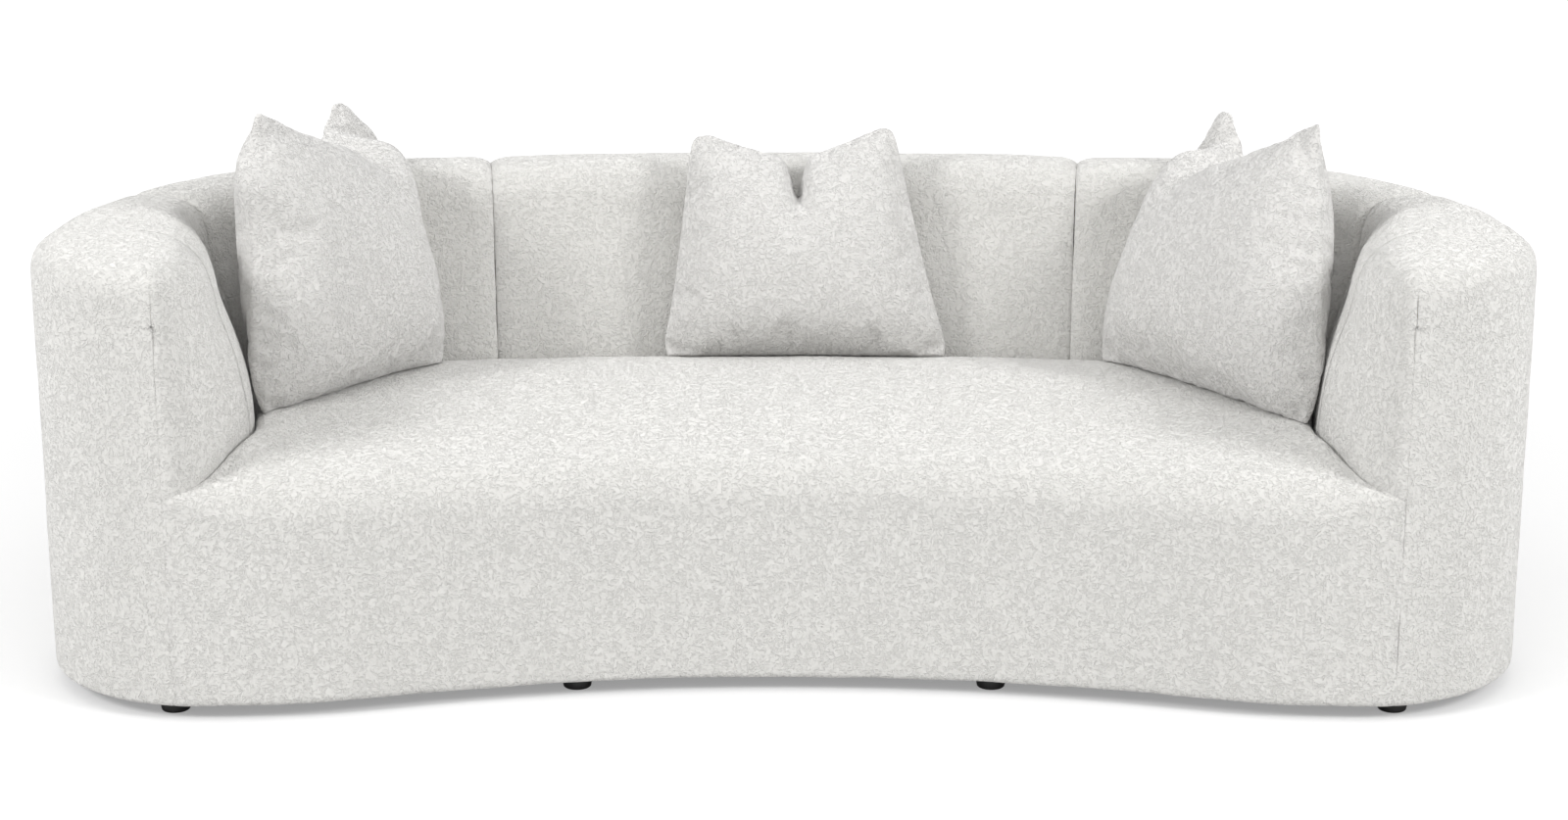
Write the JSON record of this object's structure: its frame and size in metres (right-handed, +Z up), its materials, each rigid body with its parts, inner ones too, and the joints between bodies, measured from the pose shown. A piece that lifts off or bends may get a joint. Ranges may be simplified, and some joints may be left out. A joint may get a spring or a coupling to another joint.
{
  "type": "curved sofa",
  "caption": "Kidney-shaped sofa with a barrel wall of padded channel panels that rolls over into rounded arm ends, a tight seat with a bowed front, round feet and loose pillows.",
  "frame": {"origin": "on the floor under the middle of the body", "axes": "+X to the right of a viewer who faces the sofa, +Y to the back, +Z up; the open front faces -Y"},
  "size_m": [2.55, 1.1799, 0.9305],
  "materials": {
    "boucle_upholstery": "off-white boucle with curly loops, matt",
    "foam": "cream upholstery foam, open cells, matt",
    "plywood": "unfinished birch plywood",
    "fibreboard": "thin bent fibreboard, unfinished",
    "black_wood": "black lacquer, satin",
    "spring_steel": "oiled spring wire",
    "black_cloth": "non-woven cloth, matt",
    "elastic_webbing": "woven elastic, matt"
  },
  "bodies": {
    "sofa": {"center_back_cover": "boucle_upholstery", "right_back_cover": "boucle_upholstery", "left_back_cover": "boucle_upholstery", "right_arm_cover": "boucle_upholstery", "left_arm_cover": "boucle_upholstery", "right_outside_cover": "boucle_upholstery", "left_outside_cover": "boucle_upholstery", "back_outside_cover": "boucle_upholstery", "seat_cover": "boucle_upholstery", "center_back_foam": "foam", "right_back_foam": "foam", "left_back_foam": "foam", "right_arm_foam": "foam", "left_arm_foam": "foam", "seat_foam": "foam", "apron_padding": "foam", "top_rail": "plywood", "bottom_ring": "plywood", "front_fascia": "plywood", "seat_ring": "plywood", "right_rib_1": "plywood", "right_rib_2": "plywood", "right_rib_3": "plywood", "right_rib_4": "plywood", "right_rib_5": "plywood", "left_rib_1": "plywood", "left_rib_2": "plywood", "left_rib_3": "plywood", "left_rib_4": "plywood", "left_rib_5": "plywood", "right_nose_former": "plywood", "left_nose_former": "plywood", "right_front_post_1": "plywood", "right_front_post_2": "plywood", "left_front_post_1": "plywood", "left_front_post_2": "plywood", "right_stretcher": "plywood", "left_stretcher": "plywood", "outside_board": "fibreboard", "right_front_inner_foot": "black_wood", "left_front_inner_foot": "black_wood", "right_front_outer_foot": "black_wood", "left_front_outer_foot": "black_wood", "right_back_inner_foot": "black_wood", "left_back_inner_foot": "black_wood", "right_back_outer_foot": "black_wood", "left_back_outer_foot": "black_wood", "seat_springs": "spring_steel", "deck_cloth": "black_cloth", "dust_cover": "black_cloth", "upper_back_webbing": "elastic_webbing", "lower_back_webbing": "elastic_webbing"},
    "left_pillow_body": {"left_pillow": "boucle_upholstery"},
    "center_pillow_body": {"center_pillow": "boucle_upholstery"},
    "right_pillow_body": {"right_pillow": "boucle_upholstery"}
  },
  "joints": [
    {"name": "left_pillow_lift", "type": "slide", "parent": "sofa", "child": "left_pillow_body", "axis": [0, 0, 1], "range_m": [0, 0.4]},
    {"name": "center_pillow_lift", "type": "slide", "parent": "sofa", "child": "center_pillow_body", "axis": [0, 0, 1], "range_m": [0, 0.4]},
    {"name": "right_pillow_lift", "type": "slide", "parent": "sofa", "child": "right_pillow_body", "axis": [0, 0, 1], "range_m": [0, 0.4]}
  ]
}
